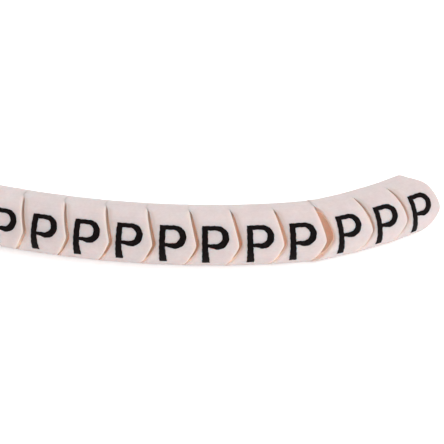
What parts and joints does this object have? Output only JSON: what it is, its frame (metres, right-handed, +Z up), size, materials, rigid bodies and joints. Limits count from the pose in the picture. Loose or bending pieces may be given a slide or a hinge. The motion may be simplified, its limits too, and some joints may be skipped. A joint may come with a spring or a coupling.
{
  "type": "cable marker",
  "caption": "Curled strip of soft slide-on cable markers: a round tube with chevron cuts across its lettered front, still joined along the uncut back and torn off one at a time.",
  "frame": {"origin": "bottom centre of the strip's box, on the surface the strip lies on", "axes": "+X along the bore of the middle marker, towards the end that curls most; -Y out of its lettered front; +Z up"},
  "size_m": [0.0554, 0.0174, 0.0073],
  "materials": {
    "soft_vinyl": "satin, soft plasticised vinyl, slightly translucent"
  },
  "bodies": {
    "root": {"marker_01": "soft_vinyl", "marker_02": "soft_vinyl", "marker_03": "soft_vinyl", "marker_04": "soft_vinyl", "marker_05": "soft_vinyl", "marker_06": "soft_vinyl", "marker_07": "soft_vinyl", "marker_08": "soft_vinyl", "marker_09": "soft_vinyl", "marker_10": "soft_vinyl", "marker_11": "soft_vinyl"}
  },
  "joints": []
}
